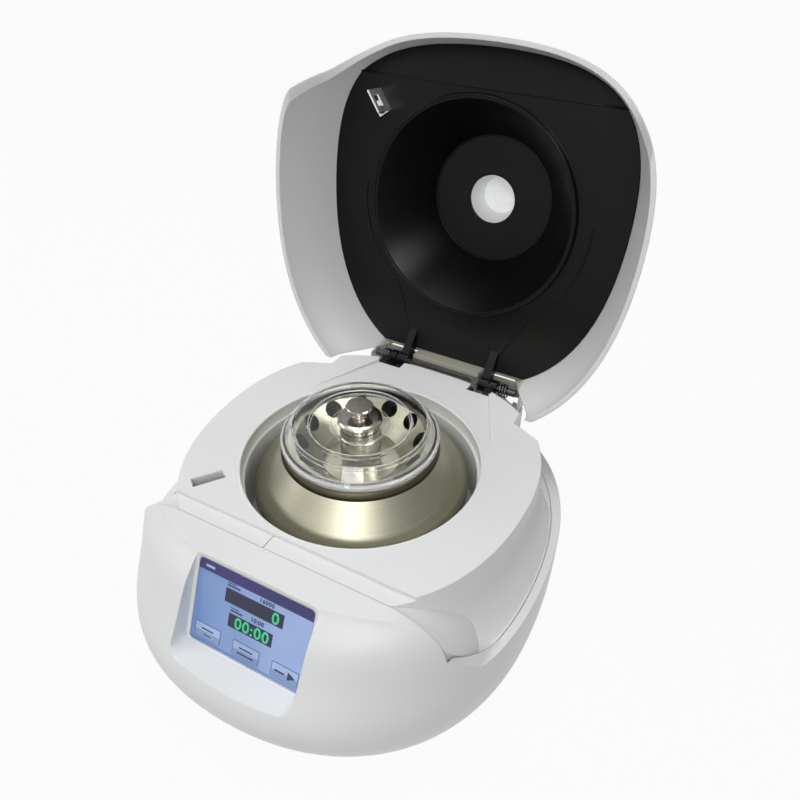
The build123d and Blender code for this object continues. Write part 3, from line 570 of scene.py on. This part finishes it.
def text_mesh(name, text, height, thickness, align="CENTER", weight=0.0):
    """Solid figures that stand on X and face Z."""
    curve = bpy.data.curves.new(name, "FONT")
    curve.body = text
    curve.size = height / 0.72
    curve.space_character = 1.1
    curve.offset = weight
    curve.align_x = align
    source = bpy.data.objects.new(name + "_source", curve)
    bpy.context.scene.collection.objects.link(source)
    bpy.context.view_layer.update()
    flat = bpy.data.meshes.new_from_object(source)
    bpy.data.objects.remove(source)
    bpy.data.curves.remove(curve)
    bm = bmesh.new()
    bm.from_mesh(flat)
    bmesh.ops.triangulate(bm, faces=bm.faces)
    grown = bmesh.ops.extrude_face_region(bm, geom=list(bm.faces))
    top = [e for e in grown["geom"] if isinstance(e, bmesh.types.BMVert)]
    bmesh.ops.translate(bm, vec=(0, 0, thickness), verts=top)
    bmesh.ops.recalc_face_normals(bm, faces=bm.faces)
    bm.to_mesh(flat)
    bm.free()
    flat.name = name
    return flat


def closed_to_open():
    """Turns a place on the closed lid into its place on the open one."""
    turn = Matrix.Rotation(-OPEN_ANGLE, 4, "X")
    return Matrix.Translation(HINGE) @ turn @ Matrix.Translation(-HINGE)


def screen_matrix():
    """From the screen's own X, Y and outward Z to the frame."""
    lean = math.radians(24.0)
    centre = Vector((0, AXIS_Y - 0.1174, DECK_Z - 0.0286))
    return Matrix.Translation(centre) @ Matrix.Rotation(math.pi / 2 - lean, 4, "X")


class Maker:
    bl_options = {"REGISTER", "UNDO"}


class CENTRIFUGE_OT_finishes(Maker, bpy.types.Operator):
    """Give every CAD node its finish"""

    bl_idname = "centrifuge.finishes"
    bl_label = "Finishes of the main parts"

    def execute(self, context):
        make_materials()
        finish_of = {node: finish for finish, nodes in FINISH_NODES.items() for node in nodes}
        for name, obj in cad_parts.items():
            material = MATERIALS[finish_of[name]]
            if not obj.material_slots:
                obj.data.materials.append(material)
            for place in obj.material_slots:
                place.material = material
        return {"FINISHED"}


class CENTRIFUGE_OT_screen_picture(Maker, bpy.types.Operator):
    """Lay the screen's plain picture on its glass"""

    bl_idname = "centrifuge.screen_picture"
    bl_label = "Screen picture"

    def execute(self, context):
        s = sizes()
        c = colours()
        made = {
            "bar": lit("screen_bar", (0.028, 0.026, 0.13), 0.8),
            "panel": lit("screen_panel", (0.012, 0.016, 0.045), 0.8),
            "key": lit("screen_key", (0.31, 0.42, 0.66), 0.82),
            "key_shade": lit("screen_key_shade", (0.2, 0.28, 0.47), 0.82),
            "edge": lit("screen_edge", (0.1, 0.14, 0.3), 0.8),
            "ink": lit("screen_ink", (0.02, 0.03, 0.09), 0.8),
            "digit": lit("screen_digit", tuple(c.digits), 0.95),
        }
        MATERIALS.update(made)
        # Name, finish, left, right, low and high edge in mm, corner radius, layer count
        layers = [
            ("screen_header", "bar", (-38.3, 38.3, 19.4, 26.4), 0.0, 1),
            ("screen_speed_box", "panel", (-18.0, 20.3, 6.9, 15.2), 0.3, 1),
            ("screen_time_box", "panel", (-13.8, 15.4, -6.9, 1.2), 0.3, 1),
            ("screen_key_left_edge", "edge", (-34.8, -17.0, -22.3, -12.6), 0.8, 1),
            ("screen_key_middle_edge", "edge", (-8.4, 9.4, -22.4, -12.8), 0.8, 1),
            ("screen_key_right_edge", "edge", (17.5, 35.2, -22.6, -13.2), 0.8, 1),
            ("screen_key_left", "key", (-34.3, -17.5, -17.6, -13.1), 0.4, 2),
            ("screen_key_middle", "key", (-7.9, 8.9, -17.8, -13.3), 0.4, 2),
            ("screen_key_right", "key", (18.0, 34.7, -18.1, -13.7), 0.4, 2),
            ("screen_key_left_low", "key_shade", (-34.3, -17.5, -21.8, -17.6), 0.4, 2),
            ("screen_key_middle_low", "key_shade", (-7.9, 8.9, -21.9, -17.8), 0.4, 2),
            ("screen_key_right_low", "key_shade", (18.0, 34.7, -22.1, -18.1), 0.4, 2),
            ("screen_rule_low", "edge", (-38.0, 38.0, -24.4, -24.1), 0.0, 1),
            ("screen_rule_high", "edge", (-38.0, 38.0, -23.6, -23.3), 0.0, 1),
            ("screen_label_one", "ink", (-17.4, -9.0, 16.6, 17.5), 0.0, 1),
            ("screen_label_one_low", "ink", (-17.4, -11.5, 18.3, 18.8), 0.0, 1),
            ("screen_label_two", "ink", (-13.2, -5.4, 2.7, 3.6), 0.0, 1),
            ("screen_label_two_low", "ink", (-13.2, -7.6, 4.4, 4.9), 0.0, 1),
            ("screen_header_mark", "key", (-33.0, -27.0, 21.8, 23.2), 0.2, 2),
            ("screen_key_left_line", "ink", (-30.0, -21.8, -16.4, -15.6), 0.2, 3),
            ("screen_key_left_line_low", "ink", (-28.4, -23.4, -19.8, -19.2), 0.2, 3),
            ("screen_key_middle_line", "ink", (-4.0, 5.0, -16.6, -15.8), 0.2, 3),
            ("screen_key_middle_line_low", "ink", (-5.0, 6.0, -20.0, -19.2), 0.2, 3),
            ("screen_key_right_line", "ink", (20.0, 26.5, -18.4, -17.4), 0.2, 3),
        ]
        place = screen_matrix()
        for name, material, (x0, x1, y0, y1), corner, level in layers:
            left, right, low, high = x0 * MM, x1 * MM, y0 * MM, y1 * MM
            outline = [(right, high), (left, high), (left, low), (right, low)]
            if corner > 0:
                outline = rounded(left, right, low, high, corner * MM)

            def build(bm):
                slab(bm, outline, 0.0, s.plate * level)
                bmesh.ops.transform(bm, matrix=place, verts=bm.verts)

            add_object(name, mesh_from(name, build, smooth=False), material, "base")
        arrow = [(33.2 * MM, -17.9 * MM), (28.4 * MM, -15.4 * MM), (28.4 * MM, -20.4 * MM)]

        def build_arrow(bm):
            slab(bm, arrow, 0.0, s.plate * 3)
            bmesh.ops.transform(bm, matrix=place, verts=bm.verts)

        add_object("screen_start_arrow", mesh_from("screen_start_arrow", build_arrow, False), "ink",
                   "base")
        for name, text, height, right_low, finish in (
                ("screen_speed_digits", "0", s.digit_large, (17.6, 7.8), "digit"),
                ("screen_time_digits", "00:00", s.digit_large, (13.4, -6.0), "digit"),
                ("screen_speed_limit", "16000", s.digit_small, (13.5, 16.2), "ink"),
                ("screen_time_limit", "10:00", s.digit_small, (9.0, 2.6), "ink")):
            self.digits(name, text, height, right_low, finish, place)
        return {"FINISHED"}

    def digits(self, name, text, height, right_low, finish, place):
        """Right-aligned digits that stand on a line of the screen."""
        mesh = text_mesh(name, text, height, sizes().plate * 2, "RIGHT", height * 0.022)
        shift = Matrix.Translation((right_low[0] * MM, right_low[1] * MM, 0))
        mesh.transform(place @ shift)
        add_object(name, mesh, finish, "base")


class CENTRIFUGE_OT_deck_trim(Maker, bpy.types.Operator):
    """Round the lip of the bowl, line the lock slot and the hinge well, and lay a dark strip of painted
    shade along the well's front edge
    """

    bl_idname = "centrifuge.deck_trim"
    bl_label = "Deck trim"

    def execute(self, context):
        s = sizes()
        centre = Matrix.Translation((0, AXIS_Y, DECK_Z))

        def lip(bm):
            lathe(bm, bead_profile(75.4 * MM, -s.bead * 0.8, s.bead), 160, centre)

        add_object("bowl_lip", mesh_from("bowl_lip", lip), "trim", "base")

        slot_turn = Matrix.Rotation(math.radians(54), 4, "Z")
        slot_place = Matrix.Translation((-0.0705, AXIS_Y - 0.0615, DECK_Z)) @ slot_turn

        def lining(bm):
            walls = (((-9.3, 3.1, -11.0), (9.3, 3.5, -0.35)),
                     ((-9.7, -1.2, -11.0), (-9.3, 3.5, -0.35)),
                     ((9.3, -1.2, -11.0), (9.7, 3.5, -0.35)))
            for low, high in walls:
                box_block(bm, low, high, 0.08)
            bmesh.ops.transform(bm, matrix=slot_place, verts=bm.verts)

        add_object("slot_lining", mesh_from("slot_lining", lining, False), "trim", "base")

        # Painted shade: a dark rubber strip along the deck's rear edge stands in for the shadow down in
        # the hinge well
        def seal(bm):
            box_block(bm, (-26.2, 108.1, -2.2), (26.2, 108.95, -0.25), 0.2)
            bmesh.ops.transform(bm, matrix=centre, verts=bm.verts)

        add_object("well_painted_shadow", mesh_from("well_painted_shadow", seal, False), "rubber", "base")
        # Low wall on the rear rim of the well, with rounded corners and short returns
        low, high, thick = -22.05 * MM, -9.2 * MM, 1.4 * MM
        rear, reach, corner, front = 133.5 * MM, 61.5 * MM, 7.0 * MM, 116.2 * MM

        def half_outline(half_width, radius):
            points = [(half_width, front)]
            for i in range(9):
                a = math.radians(90 * i / 8)
                x, y = reach - corner + radius * math.cos(a), rear - corner + radius * math.sin(a)
                points.append((x, y))
            return points + [(-x, y) for x, y in reversed(points)]

        def wall(bm):
            outer = half_outline(reach, corner)
            inner = half_outline(reach - thick, corner - thick)
            slab(bm, outer + inner[::-1], low, high, 0.3 * MM)
            bmesh.ops.transform(bm, matrix=centre, verts=bm.verts)

        # The wall takes the shell finish, whose painted beige shade falls on its forward faces inside
        # the well
        back_wall = mesh_from("well_back_wall", wall, False)
        add_object("well_back_wall", back_wall, "shell", "base")
        return {"FINISHED"}


class CENTRIFUGE_OT_hinge_trim(Maker, bpy.types.Operator):
    """Add the black knuckles and stops round the two hinges"""

    bl_idname = "centrifuge.hinge_trim"
    bl_label = "Hinge trim"

    def execute(self, context):
        centre = Matrix.Translation((0, AXIS_Y, DECK_Z))
        # Inner and outer side, rear, top and edge radius of each stop, in mm
        blocks = ((28.0, 31.0, 103.2, -2.4, 0.4), (38.6, 44.4, 106.4, -1.0, 0.5))
        front, foot = 99.4, -17.0
        ring = [(r * MM, x * MM) for r, x in
                ((5.9, -0.35), (6.2, 0.0), (5.9, 0.35), (5.45, 0.35), (5.45, -0.35))]
        lie_down = Matrix.Rotation(math.pi / 2, 4, "Y")
        for name, side in (("left", -1), ("right", 1)):

            def stop(bm):
                for near, far, rear, top, edge in blocks:
                    x0, x1 = sorted((near * side, far * side))
                    box_block(bm, (x0, front, foot), (x1, rear, top), edge)
                bmesh.ops.transform(bm, matrix=centre, verts=bm.verts)

            stop_name = f"hinge_stop_{name}"
            stop_mesh = mesh_from(stop_name, stop, False)
            add_object(stop_name, stop_mesh, "black_plastic", "base")

            def collars(bm):
                for x in (29.4, 36.6):
                    place = Matrix.Translation((x * side * MM, HINGE.y, HINGE.z))
                    lathe(bm, ring, 40, place @ lie_down)

            collar_name = f"hinge_collars_{name}"
            collar_mesh = mesh_from(collar_name, collars)
            add_object(collar_name, collar_mesh, "black_plastic", "lid")
        return {"FINISHED"}


class CENTRIFUGE_OT_liner_trim(Maker, bpy.types.Operator):
    """Raise the creases and lips of the black liner"""

    bl_idname = "centrifuge.liner_trim"
    bl_label = "Liner trim"

    def execute(self, context):
        s = sizes()
        swing = closed_to_open() @ Matrix.Translation((0, AXIS_Y, DECK_Z))

        def lips(bm):
            for radius, height, bead, steps in ((73.0, 0.75, 0.75, 160), (44.1, 44.2, 0.8, 120),
                                                (17.4, 44.3, 0.45, 90)):
                lathe(bm, bead_profile(radius * MM, height * MM, bead * MM), steps, swing)

        add_object("liner_lips", mesh_from("liner_lips", lips), "liner", "lid")

        height = 3.7 * MM

        def creases(bm):
            # Two arcs round the cone that run on straight to the hinges
            for side, radius in ((-1, 80.8 * MM), (1, 84.4 * MM)):
                points = []
                for i in range(19):
                    a = math.radians(-4 + 56 * i / 18)
                    points.append(Vector((radius * math.cos(a) * side, radius * math.sin(a), height)))
                last = points[-1]
                end = Vector((34.5 * MM * side, 103 * MM, height))
                points += [last.lerp(end, k / 5) for k in range(1, 6)]
                tube_along(bm, points, s.crease)
            front = [Vector((x * MM, -77.0 * MM, 3.9 * MM)) for x in (-94, -60, -20, 20, 60, 94)]
            tube_along(bm, front, s.crease * 1.1)
            bmesh.ops.transform(bm, matrix=swing, verts=bm.verts)

        add_object("liner_creases", mesh_from("liner_creases", creases), "liner", "lid")
        return {"FINISHED"}


class CENTRIFUGE_OT_rotor_trim(Maker, bpy.types.Operator):
    """Add the rotor's dark band and its place numbers"""

    bl_idname = "centrifuge.rotor_trim"
    bl_label = "Rotor trim"

    def execute(self, context):
        centre = Matrix.Translation((0, AXIS_Y, DECK_Z))

        # Radius and height of the band's outline, in mm
        outline = ((46.42, 16.15), (47.36, 11.4), (48.95, 9.5), (48.6, 9.3), (47.0, 11.2), (46.1, 16.0))

        def band(bm):
            lathe(bm, [(r * MM, z * MM) for r, z in outline], 144, centre)

        add_object("rotor_band", mesh_from("rotor_band", band), "rotor_band", "rotor")
        whole = bmesh.new()
        for number in range(1, 13):
            figure = text_mesh("figure", str(number), sizes().place_number, 0.00015)
            around = math.radians(75 + 30 * number)
            out = Vector((math.cos(around), math.sin(around), 0))
            up = (out + Vector((0, 0, 1))).normalized()
            face = (Vector((0, 0, 1)) - out).normalized()
            across = up.cross(face)
            spot = centre.translation + out * 0.0277 + Vector((0, 0, 0.0042)) + face * 0.00003
            place = Matrix.Translation(spot) @ Matrix((across, up, face)).transposed().to_4x4()
            figure.transform(place)
            whole.from_mesh(figure)
            bpy.data.meshes.remove(figure)
        numbers = bpy.data.meshes.new("place_numbers")
        whole.to_mesh(numbers)
        whole.free()
        add_object("place_numbers", numbers, "marks", "rotor")
        return {"FINISHED"}


class CENTRIFUGE_OT_cover_trim(Maker, bpy.types.Operator):
    """Add the cloudy rim and the moulded rings of the clear cover, the rings made cloudy white as
    painted highlights
    """

    bl_idname = "centrifuge.cover_trim"
    bl_label = "Cover trim"

    def execute(self, context):
        centre = Matrix.Translation((0, AXIS_Y, DECK_Z))

        def rim(bm):
            steps = 360
            rows = []
            # Radius, height and depth of the teeth of each row, in mm
            for radius, height, tooth in ((48.15, 16.45, 0.0), (48.3, 16.7, 0.12), (48.3, 18.6, 0.12),
                                          (48.15, 18.9, 0.0), (46.9, 19.9, 0.0), (46.5, 19.8, 0.0)):
                row = []
                for i in range(steps):
                    a = 2 * math.pi * i / steps
                    r = (radius + (tooth if i % 2 else -tooth)) * MM
                    row.append(bm.verts.new((r * math.cos(a), r * math.sin(a), height * MM)))
                rows.append(row)
            for low, high in zip(rows, rows[1:] + rows[:1]):
                for i in range(steps):
                    j = (i + 1) % steps
                    bm.faces.new((low[i], low[j], high[j], high[i]))
            bmesh.ops.transform(bm, matrix=centre, verts=bm.verts)

        add_object("cover_rim", mesh_from("cover_rim", rim), "frosted", "rotor_lid")

        # Moulded edge rings of the cover, made cloudy white so that they show as painted highlight lines
        def rings(bm):
            for radius, height, bead in ((40.9, 28.1, 0.32), (31.1, 28.45, 0.28), (41.9, 25.6, 0.2),
                                         (30.2, 26.35, 0.22), (18.0, 26.25, 0.2)):
                lathe(bm, bead_profile(radius * MM, height * MM, bead * MM, 8), 144, centre)

        add_object("cover_highlight_rings", mesh_from("cover_highlight_rings", rings), "frosted", "rotor_lid")
        return {"FINISHED"}


class CENTRIFUGE_OT_base_screws(Maker, bpy.types.Operator):
    """Screw the base plate down"""

    bl_idname = "centrifuge.base_screws"
    bl_label = "Screws"

    def execute(self, context):
        s = sizes()
        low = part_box("base_plate")[0].z

        # Outline of a head with a socket, as shares of its radius
        shares = ((0.02, 0.0), (0.02, -0.12), (0.42, -0.12), (0.5, -0.42), (0.86, -0.36), (1.0, -0.08),
                  (1.0, 0.25))
        head = [(a * s.screw_radius, b * s.screw_radius) for a, b in shares]

        def screws(bm):
            for x, y in ((-52, -92), (52, -92), (-52, 84), (52, 84), (0, -112), (0, 104)):
                lathe(bm, head, 32, Matrix.Translation((x * MM, AXIS_Y + y * MM, low)))

        add_object("base_screws", mesh_from("base_screws", screws), "plate", "base")
        return {"FINISHED"}


class CENTRIFUGE_OT_stage(Maker, bpy.types.Operator):
    """Set the floor, the lights and the camera"""

    bl_idname = "centrifuge.stage"
    bl_label = "Stage"

    def execute(self, context):
        self.floor()
        self.world(context.scene)
        # Place and size in metres, power in watts
        self.lamp("top_light", (-0.25, 0.15, 1.75), 1.1, 14.0)
        self.lamp("left_light", (-1.5, -0.7, 0.9), 0.9, 6.5)
        self.lamp("front_light", (0.55, -1.6, 1.15), 1.0, 11.0)
        self.lamp("small_front_light", (0.5, -1.0, 1.15), 0.28, 2.4)
        # Only mirrored, as the soft light on the liner's cone
        cone_light = self.lamp("cone_light", (1.05, -0.03, 1.35), 0.55, 13.0)
        cone_light.visible_diffuse = False
        self.camera(context.scene)
        return {"FINISHED"}

    def floor(self):
        def build(bm):
            slab(bm, rounded(-6, 6, -6, 6, 2.0, 12), -0.01, 0.0)

        floor = bpy.data.objects.new("floor", mesh_from("floor", build, False))
        bpy.context.scene.collection.objects.link(floor)
        s = Shader("pale_floor")
        grey = s.ramp(s.noise(3.0), (0.33, 0.33, 0.33), (0.345, 0.345, 0.345))
        s.link(grey, s.surface.inputs["Base Color"])
        s.set(Roughness=0.9)
        path = s.add("ShaderNodeLightPath")
        bright = s.add("ShaderNodeEmission", Strength=1.0)
        share = s.add("ShaderNodeMath", operation="MULTIPLY")
        share.inputs[1].default_value = 0.95
        clear = s.add("ShaderNodeMath", operation="MAXIMUM")
        s.link(path.outputs["Is Transmission Ray"], clear.inputs[0])
        s.link(path.outputs["Is Glossy Ray"], clear.inputs[1])
        seen = s.add("ShaderNodeMath", operation="MAXIMUM")
        s.link(path.outputs["Is Camera Ray"], seen.inputs[0])
        s.link(clear.outputs["Value"], seen.inputs[1])
        s.link(seen.outputs["Value"], share.inputs[0])
        mix = s.add("ShaderNodeMixShader")
        out = s.tree.nodes["Material Output"]
        s.link(share.outputs["Value"], mix.inputs["Fac"])
        s.link(s.surface.outputs["BSDF"], mix.inputs[1])
        s.link(bright.outputs["Emission"], mix.inputs[2])
        s.link(mix.outputs["Shader"], out.inputs["Surface"])
        floor.data.materials.append(s.material)

    def world(self, scene):
        world = bpy.data.worlds.new("plain_world")
        world.use_nodes = True
        scene.world = world
        tree = world.node_tree
        sky = tree.nodes["Background"]
        sky.inputs["Color"].default_value = (1, 1, 1, 1)

        def math_node(operation, first, second):
            node = tree.nodes.new("ShaderNodeMath")
            node.operation = operation
            tree.links.new(first, node.inputs[0])
            if isinstance(second, float):
                node.inputs[1].default_value = second
            else:
                tree.links.new(second, node.inputs[1])
            return node.outputs["Value"]

        # Metal and gloss mirror a room that is brightest in front of the machine
        place = tree.nodes.new("ShaderNodeTexCoord")
        ahead = tree.nodes.new("ShaderNodeVectorMath")
        ahead.operation = "DOT_PRODUCT"
        ahead.inputs[1].default_value = Vector((-0.1, -1.0, 0.2)).normalized()
        tree.links.new(place.outputs["Generated"], ahead.inputs[0])
        fade = tree.nodes.new("ShaderNodeMapRange")
        for socket, value in (("From Min", 0.45), ("From Max", 0.95), ("To Min", 0.32), ("To Max", 1.0)):
            fade.inputs[socket].default_value = value
        tree.links.new(ahead.outputs["Value"], fade.inputs["Value"])
        path = tree.nodes.new("ShaderNodeLightPath").outputs
        mirrored = math_node("MULTIPLY", path["Is Glossy Ray"], fade.outputs["Result"])
        seen = math_node("MAXIMUM", path["Is Camera Ray"], path["Is Transmission Ray"])
        level = math_node("MAXIMUM", seen, mirrored)
        tree.links.new(math_node("MAXIMUM", level, 0.27), sky.inputs["Strength"])

    def lamp(self, name, place, size, power):
        light = bpy.data.lights.new(name, "AREA")
        light.size = size
        light.energy = power
        obj = bpy.data.objects.new(name, light)
        bpy.context.scene.collection.objects.link(obj)
        obj.location = place
        aim = Vector((0, 0, 0.12)) - Vector(place)
        obj.rotation_euler = aim.to_track_quat("-Z", "Y").to_euler()
        return obj

    def camera(self, scene):
        data = bpy.data.cameras.new("camera")
        data.lens = 32.64
        data.sensor_width = 36.0
        data.clip_start = 0.02
        obj = bpy.data.objects.new("camera", data)
        scene.collection.objects.link(obj)
        obj.location = (0.1814, AXIS_Y - 0.2855, DECK_Z + 0.304)
        obj.rotation_euler = (0.915307, -0.005928, 0.499756)
        scene.camera = obj
        scene.view_settings.view_transform = "Standard"


class CENTRIFUGE_PT_parts(bpy.types.Panel):
    """Operators and settings of the centrifuge"""

    bl_label = "Centrifuge"
    bl_idname = "CENTRIFUGE_PT_parts"
    bl_space_type = "VIEW_3D"
    bl_region_type = "UI"
    bl_category = "Centrifuge"

    def draw(self, context):
        for group in (context.scene.centrifuge_sizes, context.scene.centrifuge_colours):
            for key in group.bl_rna.properties.keys():
                if key not in ("rna_type", "name"):
                    self.layout.prop(group, key)
        for operator in OPERATORS:
            self.layout.operator(operator.bl_idname)


OPERATORS = (
    CENTRIFUGE_OT_finishes,
    CENTRIFUGE_OT_screen_picture,
    CENTRIFUGE_OT_deck_trim,
    CENTRIFUGE_OT_hinge_trim,
    CENTRIFUGE_OT_liner_trim,
    CENTRIFUGE_OT_rotor_trim,
    CENTRIFUGE_OT_cover_trim,
    CENTRIFUGE_OT_base_screws,
    CENTRIFUGE_OT_stage,
)
CLASSES = (CentrifugeSizes, CentrifugeColours, *OPERATORS, CENTRIFUGE_PT_parts)


def register():
    for cls in CLASSES:
        bpy.utils.register_class(cls)
    bpy.types.Scene.centrifuge_sizes = bpy.props.PointerProperty(type=CentrifugeSizes)
    bpy.types.Scene.centrifuge_colours = bpy.props.PointerProperty(type=CentrifugeColours)


def unregister():
    del bpy.types.Scene.centrifuge_colours
    del bpy.types.Scene.centrifuge_sizes
    for cls in reversed(CLASSES):
        bpy.utils.unregister_class(cls)


def main():
    register()
    for operator in OPERATORS:
        group, name = operator.bl_idname.split(".")
        getattr(getattr(bpy.ops, group), name)()


if __name__ == "__main__":
    main()
